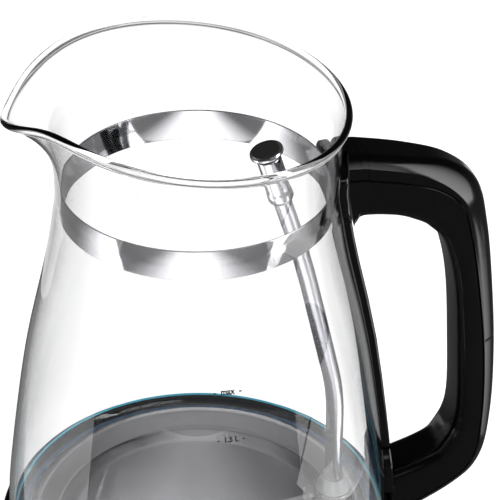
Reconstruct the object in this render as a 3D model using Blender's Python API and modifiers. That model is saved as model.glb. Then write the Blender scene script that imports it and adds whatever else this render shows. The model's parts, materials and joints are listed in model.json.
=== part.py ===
"""Electric kettle: an open glass jug with a steel neck band and a glossy black handle, standing on its
cordless power base. Metres, +Z up. The origin is on the jug's axis, on the surface that the base stands on.
The handle points along +X and the spout along -X."""

import math

import bmesh
import bpy
from mathutils import Matrix, Vector

GAP = 0.0003  # kept between pieces that touch
RING_STEPS = 36  # facets round every large ring, so that neighbours stay parallel
SMALL_STEPS = 12  # facets round screws, pins and feet

# Heights
BASE_SEAT_Z = 0.0220  # the rim of the power base, where the jug stands
HOUSING_TOP_Z = 0.0534
PAN_Z = 0.0540  # inner corner of the glass, at the level of the heating pan's rim
NECK_Z = PAN_Z + 0.1527  # narrowest point of the glass
RIM_Z = PAN_Z + 0.1934

# Glass jug
GLASS_WALL = 0.0019
GLASS_OUTLINE = ((0.0790, 0.000), (0.0769, 0.026), (0.0692, 0.079), (0.0592, 0.124), (0.0546, 0.1527))
FLANGE_HOLE_R = 0.0690  # the foot of the glass turns inward round the heating pan
FLANGE_TOP = -0.0050
FLANGE_BOTTOM = -0.0082
RIM_R = 0.0636
RIM_BEAD_R = 0.0015
RIM_TILT = 0.0056  # the rim rises towards the spout
SPOUT_REACH = 0.0110
SPOUT_DIP = 0.0082
GLASS_STEPS = 40
FLARE_ROWS = 6

# Neck band
BAND_R = 0.0522
BAND_THICKNESS = 0.0007
BAND_LOW = PAN_Z + 0.1461
BAND_HIGH = PAN_Z + 0.1592

# Handle, as side outlines (x, height above PAN_Z)
HANDLE_WIDTH = 0.0230
HANDLE_EDGE = 0.0030
HANDLE_WALL = 0.0022
COVER_DEPTH = 0.0080
HANDLE_OUTER = (
    (0.046, 0.1640), (0.066, 0.1635), (0.084, 0.1597), (0.100, 0.1538), (0.1122, 0.1442), (0.1178, 0.1260),
    (0.1211, 0.1000), (0.1240, 0.0660), (0.1242, 0.0340), (0.1205, 0.0105), (0.1082, -0.0030), (0.0780, -0.0190),
)
HANDLE_INNER = (
    (0.046, 0.1378), (0.066, 0.1384), (0.080, 0.1364), (0.0920, 0.1300), (0.1009, 0.1178), (0.1056, 0.0975),
    (0.1081, 0.0700), (0.1094, 0.0400), (0.1076, 0.0258), (0.1000, 0.0159), (0.0895, 0.0114), (0.0720, 0.0060),
)
GLASS_CLEARANCE = 0.0006
SPINE_THICKNESS = 0.0034
SPINE_HALF_WIDTH = 0.0070
SADDLE_HALF_WIDTH = 0.0168
SPINE_FOOT_HALF_WIDTH = 0.0120

# Steam tube, in the plane of the handle
TUBE_R = 0.00375
TUBE_WALL = 0.0007
TUBE_X = 0.0588
TUBE_END_Z = PAN_Z - 0.0160
TUBE_KNEES = (Vector((TUBE_X, 0.0, PAN_Z + 0.0476)), Vector((0.0434, 0.0, PAN_Z + 0.1150)))
TUBE_TOP = Vector((0.0285, 0.0, PAN_Z + 0.1638))
TUBE_BEND = 0.0120
SLEEVE_R = 0.0049
SLEEVE_LENGTH = 0.0195
CAP_R = 0.0068

# Heating pan and what is under it
PAN_SHEET = 0.0008
PAN_OUTLINE = (
    (0.0708, -0.0028), (0.0670, -0.0028), (0.0590, -0.0053), (0.0575, -0.0062), (0.0545, -0.0084), (0.0530, -0.0090),
)
PAN_BOSS_R = 0.0078
PAN_BOSS_TOP = -0.0022
SPREADER_R = 0.0460
ELEMENT_R = 0.0350
ELEMENT_TUBE_R = 0.0035

# Jug housing
HOUSING_R = 0.0826
HOUSING_WALL = 0.0022
LEDGE_Z = 0.0344
LEDGE_R = 0.0685
COVER_SCREW_R = 0.0720

# Power lever
LEVER_PIVOT = Vector((0.0760, 0.0, 0.0310))
LEVER_WIDTH = 0.0140
PIN_R = 0.0014
PUSHROD_R = 0.0012
PUSHROD_Z = 0.0269

# Power base
BASE_R = 0.0820
BASE_WALL = 0.0020
BASE_FLOOR_Z = 0.0180
FOOT_RING_R = 0.0620
BASE_SCREW_R = 0.0500
POST_R = 0.0175
POST_TOP_Z = 0.0360
GRIP_Z = 0.0105  # height of the cord outlet


# ---------------------------------------------------------------- tools

def material(name, colour, roughness, metallic=0.0, alpha=1.0, transmission=0.0):
    made = bpy.data.materials.new(name)
    made.use_nodes = True
    shader = made.node_tree.nodes["Principled BSDF"]
    shader.inputs["Base Color"].default_value = (*colour, 1.0)
    shader.inputs["Roughness"].default_value = roughness
    shader.inputs["Metallic"].default_value = metallic
    shader.inputs["Alpha"].default_value = alpha
    shader.inputs["Transmission Weight"].default_value = transmission
    made.diffuse_color = (*colour, alpha)
    return made


def place(name, mesh, look, collection=None):
    """A new object of this mesh, among the kettle's parts unless a collection is given."""
    thing = bpy.data.objects.new(name, mesh)
    if look:
        mesh.materials.append(look)
    (collection or PARTS).objects.link(thing)
    return thing


def as_cutter(thing):
    thing.hide_render = True
    thing.display_type = "WIRE"
    return thing


def combine(thing, other, operation="DIFFERENCE", solver="EXACT"):
    boolean = thing.modifiers.new(operation.title(), "BOOLEAN")
    boolean.operation = operation
    boolean.object = other
    boolean.solver = solver
    return thing


def evaluated_mesh(thing):
    """The object's shape with its modifiers, as a mesh with its caps welded."""
    bpy.context.view_layer.update()
    graph = bpy.context.evaluated_depsgraph_get()
    mesh = bpy.data.meshes.new_from_object(thing.evaluated_get(graph))
    edit = bmesh.new()
    edit.from_mesh(mesh)
    bmesh.ops.remove_doubles(edit, verts=edit.verts, dist=1e-6)
    bmesh.ops.recalc_face_normals(edit, faces=edit.faces)
    edit.to_mesh(mesh)
    edit.free()
    return mesh


def turned(name, profile, look, steps=RING_STEPS, collection=None):
    """A profile of (radius, height) points turned about Z. One that doesn't reach the axis is a closed loop."""
    count = len(profile)
    on_axis = profile[0][0] == 0 and profile[-1][0] == 0
    if not on_axis:
        area = sum(
            profile[i][0] * profile[(i + 1) % count][1] - profile[(i + 1) % count][0] * profile[i][1]
            for i in range(count)
        )
        profile = profile[::-1] if area > 0 else profile
    edges = [(i, i + 1) for i in range(count - 1)]
    if not on_axis:
        edges.append((count - 1, 0))
    mesh = bpy.data.meshes.new(name)
    mesh.from_pydata([(radius, 0.0, height) for radius, height in profile], edges, [])
    thing = place(name, mesh, look, collection)
    screw = thing.modifiers.new("Turn", "SCREW")
    screw.steps = steps
    screw.render_steps = steps
    screw.use_merge_vertices = True
    screw.merge_threshold = 1e-5
    screw.use_smooth_shade = True
    return thing


def ring(name, inner, outer, low, high, look, steps=RING_STEPS):
    return turned(name, [(inner, high), (outer, high), (outer, low), (inner, low)], look, steps)


def disc(name, radius, low, high, look, steps=RING_STEPS, collection=None):
    profile = [(0.0, high), (radius, high), (radius, low), (0.0, low)]
    return turned(name, profile, look, steps, collection)


def block(name, low, high, look, collection=None):
    """A box between two corners."""
    low, high = Vector(low), Vector(high)
    edit = bmesh.new()
    bmesh.ops.create_cube(edit, size=1.0)
    bmesh.ops.scale(edit, vec=high - low, verts=edit.verts)
    mesh = bpy.data.meshes.new(name)
    edit.to_mesh(mesh)
    edit.free()
    thing = place(name, mesh, look, collection)
    thing.location = (low + high) / 2
    return thing


def curve_object(name, points, dimensions="3D", cyclic=False):
    data = bpy.data.curves.new(name, "CURVE")
    data.dimensions = dimensions
    line = data.splines.new("POLY")
    line.points.add(len(points) - 1)
    for knot, point in zip(line.points, points):
        knot.co = (*point, 1.0) if len(point) == 3 else (*point, 0.0, 1.0)
    line.use_cyclic_u = cyclic
    return place(name, data, None)


def wire(name, points, radius, look):
    """A round wire, tube or rod along the points."""
    thing = curve_object(name, points)
    thing.data.bevel_depth = radius
    thing.data.bevel_resolution = 2
    thing.data.use_fill_caps = True
    thing.data.materials.append(look)
    return thing


def slab(name, outline, thickness, look, facing="Y"):
    """A flat outline given thickness: in X and Z when it faces along Y, in Y and Z when it faces along X."""
    flat = curve_object(name + "_outline", outline, "2D", cyclic=True)
    flat.data.fill_mode = "BOTH"
    flat.data.extrude = thickness / 2
    mesh = evaluated_mesh(flat)
    bpy.data.objects.remove(flat)
    mesh.transform(Matrix.Rotation(math.pi / 2, 4, "X"))
    if facing == "X":
        mesh.transform(Matrix.Rotation(math.pi / 2, 4, "Z"))
    return place(name, mesh, look)


def smooth_line(points, steps):
    """Points on a Catmull-Rom curve through the given ones, with this many steps for each span."""
    points = [Vector(point) for point in points]
    ends = [2 * points[0] - points[1], *points, 2 * points[-1] - points[-2]]
    line = []
    for before, start, end, after in zip(ends, ends[1:], ends[2:], ends[3:]):
        for step in range(steps):
            t = step / steps
            line.append(
                0.5 * (
                    2 * start
                    + (end - before) * t
                    + (2 * before - 5 * start + 4 * end - after) * t**2
                    + (3 * start - 3 * end + after - before) * t**3
                )
            )
    return line + [points[-1]]


def offset_line(points, distance):
    """The line moved sideways, to its right as it runs."""
    moved = []
    for i, point in enumerate(points):
        along = Vector(points[min(i + 1, len(points) - 1)]) - Vector(points[max(i - 1, 0)])
        moved.append(Vector(point) + distance * Vector((along.y, -along.x)).normalized())
    return moved


def sheet(points, thickness):
    """The closed outline of a sheet whose visible side is this line, with the metal on the line's right."""
    return [tuple(p) for p in points] + [tuple(p) for p in reversed(offset_line(points, thickness))]


def raised(points, height=PAN_Z):
    return [(p[0], p[1] + height) for p in points]


def polar(radius, degrees, z=0.0):
    angle = math.radians(degrees)
    return Vector((radius * math.cos(angle), radius * math.sin(angle), z))


# ---------------------------------------------------------------- glass jug

def glass_radius(height):
    """Outer radius of the body at a height above PAN_Z."""
    line = smooth_line(GLASS_OUTLINE, 8)
    for low, high in zip(line, line[1:]):
        if low.y <= height <= high.y:
            return low.x + (high.x - low.x) * (height - low.y) / (high.y - low.y)
    return line[0].x if height < line[0].y else line[-1].x


def rim_point(angle):
    """Radius and height of the rim's outer edge. The angle is measured from the spout."""
    reach = RIM_R + 0.0017 * math.cos(angle) - 0.0023 * math.cos(2 * angle)
    reach += SPOUT_REACH * math.exp(-((abs(angle) / 0.31) ** 1.53))
    rise = RIM_TILT * math.cos(angle) * reach / RIM_R
    return reach, RIM_Z + rise - SPOUT_DIP * math.exp(-((angle / 0.27) ** 2))


def glass_section(angle):
    """The glass cut at one angle from the spout, as a closed loop of (radius, height)."""
    wall = raised([(glass_radius(h), h) for h in (0.001, 0.026, 0.053, 0.079, 0.105, 0.130)])
    rim_r, rim_z = rim_point(angle)
    neck_r = GLASS_OUTLINE[-1][0]
    rim_r -= RIM_BEAD_R
    curl = 1.6 + 2.4 * math.exp(-((angle / 0.55) ** 2))  # the spout turns out late and sharply
    flare = []
    for row in range(FLARE_ROWS):
        t = (row / (FLARE_ROWS - 1)) ** 0.8
        flare.append((neck_r + (rim_r - neck_r) * t**curl, NECK_Z + (rim_z - NECK_Z) * t))
    outside = [Vector(p) for p in wall + flare]
    inside = offset_line(outside, -GLASS_WALL)
    out = (outside[-1] - inside[-1]).normalized()
    up = (outside[-1] - outside[-2]).normalized()
    middle = (outside[-1] + inside[-1]) / 2 + up * RIM_BEAD_R * 0.6
    bead = [middle + RIM_BEAD_R * (out * math.cos(a) + up * math.sin(a)) for a in (-0.1, 0.8, 2.34, 3.24)]
    foot_out = raised([(FLANGE_HOLE_R, FLANGE_BOTTOM), (0.0750, FLANGE_BOTTOM), (0.0784, -0.0052)])
    foot_in = raised([(0.0762, -0.0022), (0.0735, FLANGE_TOP), (FLANGE_HOLE_R, FLANGE_TOP)])
    return [tuple(p) for p in foot_out + outside + bead + inside[::-1] + foot_in]


def build_glass():
    """A loft round the axis, because the round foot and the spouted rim are unlike sections."""
    edit = bmesh.new()
    rings = []
    for step in range(GLASS_STEPS):
        turn = 2 * math.pi * step / GLASS_STEPS
        angle = turn - 0.45 * math.sin(turn)  # closer together at the spout
        from_spout = (angle + math.pi) % (2 * math.pi) - math.pi
        direction = Vector((-math.cos(angle), -math.sin(angle), 0.0))
        rings.append([
            edit.verts.new(direction * radius + Vector((0.0, 0.0, height)))
            for radius, height in glass_section(from_spout)
        ])
    for here, there in zip(rings, rings[1:] + rings[:1]):
        for i in range(len(here)):
            j = (i + 1) % len(here)
            edit.faces.new((here[i], here[j], there[j], there[i]))
    bmesh.ops.recalc_face_normals(edit, faces=edit.faces)
    mesh = bpy.data.meshes.new("glass_jug")
    edit.to_mesh(mesh)
    edit.free()
    mesh.shade_smooth()
    place("glass_jug", mesh, GLASS)


def build_neck_band():
    ring("neck_band", BAND_R - BAND_THICKNESS, BAND_R, BAND_LOW, BAND_HIGH, STEEL)


# ---------------------------------------------------------------- handle

def round_the_glass(name, clearance, low, high):
    """A solid as wide as the glass and this much more, used to cut or to trim what hugs the glass."""
    heights = [low + (high - low) * i / 14 for i in range(15)]
    profile = [(0.0, high + PAN_Z)]
    profile += [(glass_radius(h) + clearance, h + PAN_Z) for h in reversed(heights)]
    profile += [(0.0, low + PAN_Z)]
    return as_cutter(turned(name, profile, None, RING_STEPS, CUTTERS))


def handle_sections(stations, depth_from, depth_to, hollow=None):
    """Rings across the handle between two depths, measured inward from its outer face.

    A hollow piece is a channel: "inside" is open towards the fingers, "outside" towards the outer face.
    """
    half = HANDLE_WIDTH / 2
    edge = HANDLE_EDGE
    wall = HANDLE_WALL
    rings = []
    for outer, inner in stations:
        reach = inner - outer
        across = reach.normalized()
        last = reach.length if depth_to is None else depth_to
        if hollow == "outside":
            side = [(depth_from, half), (last - edge, half), (last - edge * 0.3, half - edge * 0.3)]
            side += [(last, half - edge), (last + 0.0003, half * 0.4)]
            bore = [(last - wall, half - wall - 0.002), (last - wall - 0.002, half - wall), (depth_from, half - wall)]
        else:
            side = [(last, half), (depth_from + edge, half), (depth_from + edge * 0.3, half - edge * 0.3)]
            side += [(depth_from, half - edge), (depth_from - 0.0004, half * 0.4)]
            bore = [(wall, half - wall - 0.002), (wall + 0.002, half - wall), (last, half - wall)]
        outline = side + [(depth, -y) for depth, y in reversed(side)]
        if hollow:
            outline += [(depth, -y) for depth, y in reversed(bore)] + bore
        rings.append([
            Vector((outer.x + across.x * depth, y, PAN_Z + outer.y + across.y * depth)) for depth, y in outline
        ])
    return rings


def loft(name, rings, look):
    """A closed skin through the rings, which have one number of points, capped at both ends."""
    edit = bmesh.new()
    rows = [[edit.verts.new(point) for point in ring_points] for ring_points in rings]
    for here, there in zip(rows, rows[1:]):
        for i in range(len(here)):
            j = (i + 1) % len(here)
            edit.faces.new((here[i], here[j], there[j], there[i]))
    edit.faces.new(rows[0])
    edit.faces.new(rows[-1])
    bmesh.ops.recalc_face_normals(edit, faces=edit.faces)
    bmesh.ops.triangulate(edit, faces=edit.faces)  # a Boolean needs flat faces
    mesh = bpy.data.meshes.new(name)
    edit.to_mesh(mesh)
    edit.free()
    mesh.shade_smooth()
    mesh.set_sharp_from_angle(angle=math.radians(40))
    return place(name, mesh, look)


def build_handle():
    outer = smooth_line(HANDLE_OUTER, 3)
    inner = smooth_line(HANDLE_INNER, 3)
    stations = list(zip(outer, inner))
    glass_cut = round_the_glass("spine_clearance", GLASS_CLEARANCE + SPINE_THICKNESS + GAP, -0.040, 0.180)
    seam = 3  # the station of the cross seam behind the root cap
    before = [tuple(a.lerp(b, 0.95) for a, b in zip(stations[seam - 1], stations[seam]))]

    body = loft("handle_body", handle_sections(stations, COVER_DEPTH + GAP, None, "outside"), GLOSS_BLACK)
    cover = loft("handle_cover", handle_sections(stations[seam:], 0.0, COVER_DEPTH, "inside"), GLOSS_BLACK)
    cap = loft("handle_root_cap", handle_sections(stations[:seam] + before, 0.0, COVER_DEPTH), GLOSS_BLACK)
    outer_top, inner_top = stations[7]
    outer_low, inner_low = stations[30]
    build_handle_screw("handle_screw_upper", inner_top, outer_top, body, cover, COVER_DEPTH)
    build_handle_screw("handle_screw_lower", outer_low, inner_low, cover, body, None)
    for thing in (body, cover, cap):
        combine(thing, glass_cut, solver="MANIFOLD")


def build_handle_screw(name, head_at, far_at, head_piece, far_piece, far_depth):
    """A screw whose head sits in a well in one half of the handle, driven into a boss in the other half."""
    foot = Vector((head_at.x, 0.0, PAN_Z + head_at.y))
    towards = Vector((far_at.x, 0.0, PAN_Z + far_at.y)) - foot
    depth = towards.length
    turn = Vector((0.0, 0.0, 1.0)).rotation_difference(towards)

    def aim(thing):
        thing.rotation_mode = "QUATERNION"
        thing.rotation_quaternion = turn
        thing.location = foot
        return thing

    def pillar(label, radius, low, high):
        made = disc(f"{name}_{label}", radius, low, high, None, SMALL_STEPS, CUTTERS)
        return as_cutter(aim(made))

    far_low = depth - far_depth + 0.0001 if far_depth else COVER_DEPTH + GAP + 0.0001
    combine(head_piece, pillar("head_boss", 0.0046, 0.0006, 0.0042), "UNION", "MANIFOLD")
    combine(head_piece, pillar("well", 0.0033, -0.0030, 0.0020), solver="MANIFOLD")
    combine(head_piece, pillar("head_hole", 0.0018, 0.0000, 0.0070), solver="MANIFOLD")
    combine(far_piece, pillar("far_boss", 0.0036, far_low, depth - 0.0010), "UNION", "MANIFOLD")
    combine(far_piece, pillar("far_hole", 0.0018, far_low - 0.0030, depth - 0.0035), solver="MANIFOLD")
    screw = aim(build_screw(name, foot, depth - 0.0046, 0.0029))
    screw.location = foot + towards.normalized() * 0.0004


def build_spine():
    """The strip that follows the glass from the neck to the housing, widened to a saddle at both ends."""
    half = (
        (SADDLE_HALF_WIDTH - 0.004, 0.1615), (SADDLE_HALF_WIDTH - 0.001, 0.1600), (SADDLE_HALF_WIDTH, 0.1570),
        (SADDLE_HALF_WIDTH, 0.1450), (SADDLE_HALF_WIDTH - 0.002, 0.1410), (0.0110, 0.1380), (SPINE_HALF_WIDTH, 0.1330),
        (SPINE_HALF_WIDTH, 0.0220), (SPINE_FOOT_HALF_WIDTH - 0.002, 0.0165), (SPINE_FOOT_HALF_WIDTH, 0.0130),
        (SPINE_FOOT_HALF_WIDTH, 0.0000),
    )
    outline = list(half) + [(-y, z) for y, z in reversed(half)]
    spine = slab("handle_spine", raised(outline), 0.060, GLOSS_BLACK, facing="X")
    spine.location.x = 0.070
    inside = round_the_glass("glass_clearance", GLASS_CLEARANCE, -0.040, 0.180)
    outside = round_the_glass("spine_outside", GLASS_CLEARANCE + SPINE_THICKNESS, -0.040, 0.180)
    combine(spine, outside, "INTERSECT")
    combine(spine, inside)


def build_screw(name, place_at, length, head_r=0.0030, head_h=0.0012):
    """A screw standing on its head."""
    profile = [(0.0, length), (0.0013, length), (0.0015, length - 0.0006), (0.0015, head_h), (head_r, head_h * 0.8)]
    profile += [(head_r, 0.0), (0.0, 0.0)]
    screw = turned(name, profile, SCREW_STEEL, SMALL_STEPS)
    screw.location = place_at
    return screw


# ---------------------------------------------------------------- steam tube

def tube_axis():
    """Points along the tube, from its lower end up to its mouth, and the way that its mouth faces."""
    corners = [Vector((TUBE_X, 0.0, TUBE_END_Z)), *TUBE_KNEES, TUBE_TOP]
    points = [corners[0]]
    for below, knee, above in zip(corners, corners[1:], corners[2:]):
        back = (below - knee).normalized()
        lean = (above - knee).normalized()
        for t in (0.0, 0.33, 0.67, 1.0):
            points.append(knee + TUBE_BEND * ((1 - t) ** 2 * back + t**2 * lean))
    return points + [TUBE_TOP], lean


def build_steam_tube():
    axis, lean = tube_axis()
    tube_line = wire("steam_tube_line", axis, TUBE_R, STEEL)
    tube_line.data.bevel_resolution = 3
    tube = place("steam_tube", evaluated_mesh(tube_line), None)
    longer = [axis[0] - Vector((0.0, 0.0, 0.002)), *axis[1:-1], axis[-1] + 0.002 * lean]
    bore_line = wire("steam_tube_bore_line", longer, TUBE_R - TUBE_WALL, STEEL)
    bore_line.data.bevel_resolution = 3
    bore = place("steam_tube_bore", evaluated_mesh(bore_line), None, CUTTERS)
    bpy.data.objects.remove(tube_line)
    bpy.data.objects.remove(bore_line)
    combine(tube, as_cutter(bore))

    turn = Vector((0.0, 0.0, 1.0)).rotation_difference(lean)
    sleeve_profile = [
        (TUBE_R + GAP, 0.0), (SLEEVE_R - 0.0006, 0.0), (SLEEVE_R + 0.0003, 0.0012), (SLEEVE_R + 0.0003, 0.0040),
        (SLEEVE_R, 0.0055), (SLEEVE_R, SLEEVE_LENGTH), (TUBE_R + GAP, SLEEVE_LENGTH),
    ]
    sleeve = turned("steam_tube_sleeve", sleeve_profile, STEEL, 20)
    sleeve.location = TUBE_TOP - (SLEEVE_LENGTH - 0.0005) * lean
    cap_profile = [
        (0.0, 0.0034), (CAP_R - 0.0006, 0.0032), (CAP_R, 0.0026), (CAP_R, 0.0018), (SLEEVE_R, 0.0004), (0.0, 0.0004),
    ]
    cap = turned("steam_tube_cap", cap_profile, STEEL, 24)
    cap.location = TUBE_TOP + 0.0006 * lean
    for thing in (sleeve, cap):
        thing.rotation_mode = "QUATERNION"
        thing.rotation_quaternion = turn


def build_grommet():
    bore = TUBE_R + GAP
    profile = [
        (bore, 0.0038), (bore + 0.0008, 0.0038), (0.0072, 0.0000), (0.0076, -0.0018), (0.0049, -0.0018),
        (0.0049, -0.0102), (0.0068, -0.0102), (0.0064, -0.0118), (bore, -0.0118),
    ]
    grommet = turned("steam_tube_grommet", raised(profile), SILICONE, 20)
    grommet.location.x = TUBE_X


# ---------------------------------------------------------------- heating pan and electrics

def build_pan():
    top = list(PAN_OUTLINE) + [(0.0, PAN_OUTLINE[-1][1])]
    under = [(radius, height - PAN_SHEET) for radius, height in top]
    profile = raised(top[::-1] + under)
    pan = turned("heating_pan", profile, PAN_STEEL)
    boss = disc("pan_boss", PAN_BOSS_R, PAN_Z - 0.0094, PAN_Z + PAN_BOSS_TOP, None, 24, CUTTERS)
    bore = disc("pan_bore", 0.0052, PAN_Z - 0.02, PAN_Z + 0.01, None, 20, CUTTERS)
    for cutter in (boss, bore):
        cutter.location.x = TUBE_X
    combine(pan, as_cutter(boss), "UNION")
    combine(pan, as_cutter(bore))
    seal = [
        (0.0715, -0.0039), (0.0715, FLANGE_TOP + GAP), (0.0682, FLANGE_TOP + GAP), (0.0682, FLANGE_BOTTOM),
        (0.0672, FLANGE_BOTTOM), (0.0672, -0.0039),
    ]
    turned("pan_seal", raised(seal), SILICONE)
    disc("heat_spreader", SPREADER_R, 0.0409, 0.0439, ALUMINIUM, 24)


def build_element():
    """A C-shaped element under the spreader. Its gap and its two terminals face the spout."""
    turns = [204 + 312 * step / 22 for step in range(23)]
    wire("heating_element", [polar(ELEMENT_R, turn, 0.0370) for turn in turns], ELEMENT_TUBE_R, DARK_STEEL)
    for number, turn in enumerate((turns[0], turns[-1]), 1):
        foot = disc(f"element_terminal_{number}", 0.0015, 0.0293, 0.0332, BRASS, 8)
        foot.location = polar(ELEMENT_R, turn + (3 if number == 1 else -3))
        end = polar(ELEMENT_R, turn, 0.0280)
        start = polar(0.0241, turn, 0.0284)
        wire(f"element_wire_{number}", [start, (start + end) / 2 - Vector((0.0, 0.0, 0.0008)), end], 0.0009, RED_WIRE)


def build_control():
    profile = [
        (0.0, 0.0397), (0.0205, 0.0397), (0.0230, 0.0380), (0.0230, 0.0315), (0.0300, 0.0315), (0.0300, 0.0300),
        (0.0230, 0.0300), (0.0230, 0.0258), (0.0183, 0.0258), (0.0183, 0.0368), (0.0, 0.0368),
    ]
    turned("control_body", profile, WHITE_PLASTIC, 24)
    disc("control_disc", 0.0090, 0.0401, 0.0406, COPPER, 16)
    block("jug_neutral_contact", (0.0127, -0.0020, 0.0300), (0.0134, 0.0020, 0.0365), BRASS)
    block("jug_live_contact", (0.0056, -0.0015, 0.0300), (0.0062, 0.0015, 0.0365), BRASS)
    ring("jug_earth_socket", 0.0023, 0.0034, 0.0300, 0.0365, BRASS, 12)


def build_lighting():
    ring("light_ring", 0.0698, 0.0784, 0.0410, 0.0455, DIFFUSER)
    ring("led_board", 0.0705, 0.0780, 0.0367, 0.0381, GREEN_BOARD)
    for number, turn in enumerate((90, 210, 330), 1):
        led = block(f"led_{number}", (-0.0025, -0.0025, 0.0384), (0.0025, 0.0025, 0.0400), LED_WHITE)
        led.location += polar(0.0742, turn)
        led.rotation_euler.z = math.radians(turn)
    route = ((0.0237, -150, 0.0345), (0.0400, -146, 0.0310), (0.0580, -148, 0.0330), (0.0650, -149, 0.0373),
             (0.0696, -150, 0.0376))
    points = smooth_line([polar(radius, turn, z) for radius, turn, z in route], 3)
    wire("led_wire", points, 0.0008, RED_WIRE)


def build_steam_switch():
    housing = block("steam_switch_housing", (0.0493, -0.0100, 0.0288), (0.0673, 0.0100, 0.0377), WHITE_PLASTIC)
    hollow = block("switch_hollow", (0.0508, -0.0085, 0.0270), (0.0658, 0.0085, 0.0362), None, CUTTERS)
    inlet = disc("switch_inlet", 0.0030, 0.0350, 0.0400, None, SMALL_STEPS, CUTTERS)
    inlet.location.x = TUBE_X
    combine(housing, as_cutter(hollow))
    combine(housing, as_cutter(inlet))
    steam_disc = disc("steam_switch_disc", 0.0065, 0.0320, 0.0325, COPPER, 16)
    steam_disc.location.x = TUBE_X


# ---------------------------------------------------------------- power lever

def build_lever():
    """The paddle under the handle. Its short leg pushes the rod that trips the control."""
    side = (
        (0.0740, 0.0335), (0.0785, 0.0335), (0.0840, 0.0325), (0.0960, 0.0325), (0.1010, 0.0310), (0.1010, 0.0292),
        (0.0960, 0.0295), (0.0800, 0.0293), (0.0776, 0.0285), (0.0774, 0.0260), (0.0745, 0.0260),
    )
    lever = slab("power_lever", side, LEVER_WIDTH, GLOSS_BLACK)
    bore = disc("lever_bore", PIN_R + GAP + 0.0001, -0.02, 0.02, None, SMALL_STEPS, CUTTERS)
    pin = disc("lever_pin", PIN_R, -0.0120, 0.0120, SCREW_STEEL, SMALL_STEPS)
    for thing in (bore, pin):
        thing.location = LEVER_PIVOT
        thing.rotation_euler.x = math.pi / 2
    combine(lever, as_cutter(bore))
    rod = disc("switch_pushrod", PUSHROD_R, 0.0252, 0.0742, WHITE_PLASTIC, 8)
    rod.rotation_euler.y = math.pi / 2
    rod.location.z = PUSHROD_Z


# ---------------------------------------------------------------- jug housing

def build_housing():
    inner = HOUSING_R - HOUSING_WALL
    profile = [
        (0.0812, HOUSING_TOP_Z), (0.0820, HOUSING_TOP_Z - 0.0010), (HOUSING_R, 0.0480), (HOUSING_R, 0.0245),
        (0.0820, 0.0238), (inner, 0.0238), (inner, LEDGE_Z), (LEDGE_R, LEDGE_Z), (LEDGE_R, LEDGE_Z + 0.0020),
        (0.0795, LEDGE_Z + 0.0020), (0.0795, HOUSING_TOP_Z),
    ]
    housing = turned("base_housing", profile, GLOSS_BLACK)
    for number, turn in enumerate((60, 180, 300), 1):
        boss = disc(f"housing_boss_{number}", 0.0036, 0.0258, LEDGE_Z + 0.0010, None, SMALL_STEPS, CUTTERS)
        bore = disc(f"housing_bore_{number}", 0.0018, 0.0200, 0.0352, None, SMALL_STEPS, CUTTERS)
        for cutter in (boss, bore):
            cutter.location = polar(COVER_SCREW_R, turn)
        combine(housing, as_cutter(boss), "UNION")
        combine(housing, as_cutter(bore))
    slot = block("lever_slot", (0.0780, -0.0076, 0.0262), (0.0860, 0.0076, 0.0343), None, CUTTERS)
    combine(housing, as_cutter(slot))

    under = [
        (0.0245, 0.0255), (0.0800, 0.0255), (0.0800, 0.0228), (0.0790, 0.0223), (0.0755, 0.0223), (0.0755, 0.0235),
        (0.0245, 0.0235),
    ]
    cover = turned("jug_bottom_cover", under, MATT_BLACK)
    for number, turn in enumerate((60, 180, 300), 1):
        hole = disc(f"cover_hole_{number}", 0.0018, 0.0200, 0.0300, None, SMALL_STEPS, CUTTERS)
        hole.location = polar(COVER_SCREW_R, turn)
        combine(cover, as_cutter(hole))
        build_screw(f"cover_screw_{number}", polar(COVER_SCREW_R, turn, 0.0220), 0.0120)


# ---------------------------------------------------------------- power base

def build_base_covers():
    visible = [
        (0.0195, BASE_FLOOR_Z), (0.0700, BASE_FLOOR_Z), (0.0720, 0.0185), (0.0745, BASE_SEAT_Z), (0.0790, BASE_SEAT_Z),
        (0.0811, 0.0209), (BASE_R, 0.0185), (BASE_R, 0.0026),
    ]
    top = turned("base_top_cover", sheet(visible, BASE_WALL), GLOSS_BLACK)
    bottom_profile = [
        (0.0, 0.0020), (0.0290, 0.0020), (0.0310, 0.0043), (0.0795, 0.0043), (0.0795, 0.0023), (0.0322, 0.0023),
        (0.0302, 0.0), (0.0, 0.0),
    ]
    bottom = turned("base_bottom_cover", bottom_profile, MATT_BLACK)
    for number, turn in enumerate((30, 150, 270), 1):
        boss = disc(f"base_boss_{number}", 0.0036, 0.0046, BASE_FLOOR_Z - 0.0010, None, SMALL_STEPS, CUTTERS)
        bore = disc(f"base_bore_{number}", 0.0018, 0.0010, 0.0150, None, SMALL_STEPS, CUTTERS)
        for cutter in (boss, bore):
            cutter.location = polar(BASE_SCREW_R, turn)
        combine(top, as_cutter(boss), "UNION")
        combine(top, as_cutter(bore))
        combine(bottom, bore)
        build_screw(f"base_screw_{number}", polar(BASE_SCREW_R, turn, 0.0008), 0.0130)
    outlet = disc("cord_hole", 0.0049, -0.006, 0.006, None, SMALL_STEPS, CUTTERS)
    outlet.rotation_euler.x = math.pi / 2
    outlet.location = (0.0, BASE_R - BASE_WALL / 2, GRIP_Z)
    combine(top, as_cutter(outlet))


def build_feet():
    for number, turn in enumerate((45, 135, 225, 315), 1):
        foot = turned(
            f"base_foot_{number}",
            [(0.0, 0.0020), (0.0070, 0.0020), (0.0070, 0.0006), (0.0064, 0.0), (0.0, 0.0)],
            RUBBER,
            SMALL_STEPS,
        )
        foot.location = polar(FOOT_RING_R, turn)


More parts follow.
